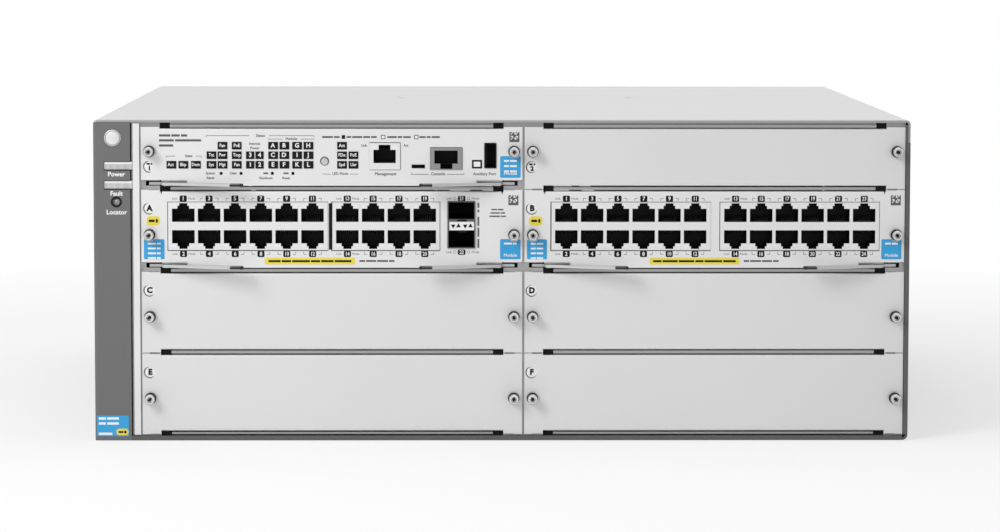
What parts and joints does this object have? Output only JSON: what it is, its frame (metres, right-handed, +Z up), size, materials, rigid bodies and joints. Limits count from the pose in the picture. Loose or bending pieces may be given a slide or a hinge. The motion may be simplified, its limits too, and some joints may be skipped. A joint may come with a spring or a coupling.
{
  "type": "modular chassis switch",
  "caption": "Four-unit sheet-metal network chassis with sliding port and management modules, ejector levers, blank covers, a side fan tray and two rear power supplies.",
  "frame": {"origin": "centre of the underside of the chassis", "axes": "+Z up, -Y towards the viewer in front of the modules, +X to the right seen from the front"},
  "size_m": [0.4444, 0.493, 0.1753],
  "materials": {
    "chassis_paint": "satin powder coat",
    "cover_paint": "satin powder coat",
    "column_plastic": "fine matt texture",
    "plate_steel": "satin plated",
    "inner_steel": "plain zinc plated",
    "black_plastic": "matt",
    "circuit_board": "coated board",
    "light_pipe": "frosted",
    "dark_screw": "black",
    "screw_steel": "bright plated",
    "shield_metal": "tin plated",
    "black_print": "printed",
    "button_plastic": "moulded",
    "lever_steel": "plain plated",
    "latch_plastic": "moulded",
    "tray_steel": "plain zinc plated"
  },
  "bodies": {
    "chassis": {"chassis_tray": "chassis_paint", "top_cover": "cover_paint", "indicator_column": "column_plastic", "trim_strip": "plate_steel", "centre_divider": "inner_steel", "fan_bay_wall": "inner_steel", "front_frame": "inner_steel", "card_guides": "black_plastic", "backplane_board": "circuit_board", "backplane_sockets": "black_plastic", "power_light_pipe": "light_pipe", "fault_light_pipe": "light_pipe", "locator_lens": "light_pipe", "indicator_board": "circuit_board", "cover_screws": "dark_screw", "blank_cover_m2": "plate_steel", "blank_cover_c": "plate_steel", "blank_cover_d": "plate_steel", "blank_cover_e": "plate_steel", "blank_cover_f": "plate_steel", "blank_cover_screws": "screw_steel"},
    "management_module": {"management_faceplate": "plate_steel", "management_board": "circuit_board", "management_jack": "shield_metal", "console_jack": "shield_metal", "usb_socket": "shield_metal", "micro_usb_socket": "shield_metal", "status_windows": "black_print", "management_screws": "screw_steel"},
    "port_module_a": {"a_faceplate": "plate_steel", "a_board": "circuit_board", "a_jack_shields": "shield_metal", "a_jack_housings": "black_plastic", "a_optical_cage": "shield_metal", "a_screws": "screw_steel"},
    "port_module_b": {"b_faceplate": "plate_steel", "b_board": "circuit_board", "b_jack_shields": "shield_metal", "b_jack_housings": "black_plastic", "b_screws": "screw_steel"},
    "fan_tray": {"fan_tray": "tray_steel"},
    "psu_left": {"psu_left_case": "tray_steel"},
    "psu_right": {"psu_right_case": "tray_steel"},
    "mode_button": {"mode_button": "button_plastic"},
    "reset_button": {"reset_button": "button_plastic"},
    "clear_button": {"clear_button": "button_plastic"},
    "shutdown_button": {"shutdown_button": "button_plastic"},
    "module_reset_button": {"module_reset_button": "button_plastic"},
    "management_lever_left": {"management_lever_left": "lever_steel"},
    "management_lever_right": {"management_lever_right": "lever_steel"},
    "a_lever_left": {"a_lever_left": "lever_steel"},
    "a_lever_right": {"a_lever_right": "lever_steel"},
    "b_lever_left": {"b_lever_left": "lever_steel"},
    "b_lever_right": {"b_lever_right": "lever_steel"},
    "fan_rotor_1": {"fan_rotor_1": "black_plastic"},
    "fan_rotor_2": {"fan_rotor_2": "black_plastic"},
    "fan_rotor_3": {"fan_rotor_3": "black_plastic"},
    "fan_rotor_4": {"fan_rotor_4": "black_plastic"},
    "psu_left_latch": {"psu_left_latch": "latch_plastic"},
    "psu_right_latch": {"psu_right_latch": "latch_plastic"}
  },
  "joints": [
    {"name": "management_module_slide", "type": "slide", "parent": "chassis", "child": "management_module", "axis": [0, -1, 0], "range_m": [0, 0.268]},
    {"name": "port_module_a_slide", "type": "slide", "parent": "chassis", "child": "port_module_a", "axis": [0, -1, 0], "range_m": [0, 0.268]},
    {"name": "port_module_b_slide", "type": "slide", "parent": "chassis", "child": "port_module_b", "axis": [0, -1, 0], "range_m": [0, 0.268]},
    {"name": "management_lever_left_hinge", "type": "hinge", "parent": "management_module", "child": "management_lever_left", "pos_m": [-0.18295, -0.21945, 0.14045], "axis": [0, 0, -1], "range_deg": [0, 75]},
    {"name": "management_lever_right_hinge", "type": "hinge", "parent": "management_module", "child": "management_lever_right", "pos_m": [-0.00255, -0.21945, 0.14045], "axis": [0, 0, 1], "range_deg": [0, 75]},
    {"name": "a_lever_left_hinge", "type": "hinge", "parent": "port_module_a", "child": "a_lever_left", "pos_m": [-0.18295, -0.21945, 0.09565], "axis": [0, 0, -1], "range_deg": [0, 75]},
    {"name": "a_lever_right_hinge", "type": "hinge", "parent": "port_module_a", "child": "a_lever_right", "pos_m": [-0.00255, -0.21945, 0.09565], "axis": [0, 0, 1], "range_deg": [0, 75]},
    {"name": "b_lever_left_hinge", "type": "hinge", "parent": "port_module_b", "child": "b_lever_left", "pos_m": [0.02565, -0.21945, 0.09565], "axis": [0, 0, -1], "range_deg": [0, 75]},
    {"name": "b_lever_right_hinge", "type": "hinge", "parent": "port_module_b", "child": "b_lever_right", "pos_m": [0.20605, -0.21945, 0.09565], "axis": [0, 0, 1], "range_deg": [0, 75]},
    {"name": "reset_button_press", "type": "slide", "parent": "management_module", "child": "reset_button", "axis": [0, 1, 0], "range_m": [0, 0.0008], "stiffness_N_per_m": 400},
    {"name": "clear_button_press", "type": "slide", "parent": "management_module", "child": "clear_button", "axis": [0, 1, 0], "range_m": [0, 0.0008], "stiffness_N_per_m": 400},
    {"name": "shutdown_button_press", "type": "slide", "parent": "management_module", "child": "shutdown_button", "axis": [0, 1, 0], "range_m": [0, 0.0008], "stiffness_N_per_m": 400},
    {"name": "module_reset_button_press", "type": "slide", "parent": "management_module", "child": "module_reset_button", "axis": [0, 1, 0], "range_m": [0, 0.0008], "stiffness_N_per_m": 400},
    {"name": "mode_button_press", "type": "slide", "parent": "management_module", "child": "mode_button", "axis": [0, 1, 0], "range_m": [0, 0.0008], "stiffness_N_per_m": 400},
    {"name": "fan_tray_slide", "type": "slide", "parent": "chassis", "child": "fan_tray", "axis": [0, 1, 0], "range_m": [0, 0.375]},
    {"name": "fan_rotor_1_spin", "type": "hinge", "parent": "fan_tray", "child": "fan_rotor_1", "pos_m": [-0.2118, -0.10645, 0.0415], "axis": [1, 0, 0], "continuous": true},
    {"name": "fan_rotor_2_spin", "type": "hinge", "parent": "fan_tray", "child": "fan_rotor_2", "pos_m": [-0.2118, -0.01445, 0.0415], "axis": [1, 0, 0], "continuous": true},
    {"name": "fan_rotor_3_spin", "type": "hinge", "parent": "fan_tray", "child": "fan_rotor_3", "pos_m": [-0.2118, -0.10645, 0.1205], "axis": [1, 0, 0], "continuous": true},
    {"name": "fan_rotor_4_spin", "type": "hinge", "parent": "fan_tray", "child": "fan_rotor_4", "pos_m": [-0.2118, -0.01445, 0.1205], "axis": [1, 0, 0], "continuous": true},
    {"name": "psu_left_slide", "type": "slide", "parent": "chassis", "child": "psu_left", "axis": [0, 1, 0], "range_m": [0, 0.177]},
    {"name": "psu_left_latch_slide", "type": "slide", "parent": "psu_left", "child": "psu_left_latch", "axis": [-1, 0, 0], "range_m": [0, 0.004], "stiffness_N_per_m": 300},
    {"name": "psu_right_slide", "type": "slide", "parent": "chassis", "child": "psu_right", "axis": [0, 1, 0], "range_m": [0, 0.177]},
    {"name": "psu_right_latch_slide", "type": "slide", "parent": "psu_right", "child": "psu_right_latch", "axis": [-1, 0, 0], "range_m": [0, 0.004], "stiffness_N_per_m": 300}
  ]
}
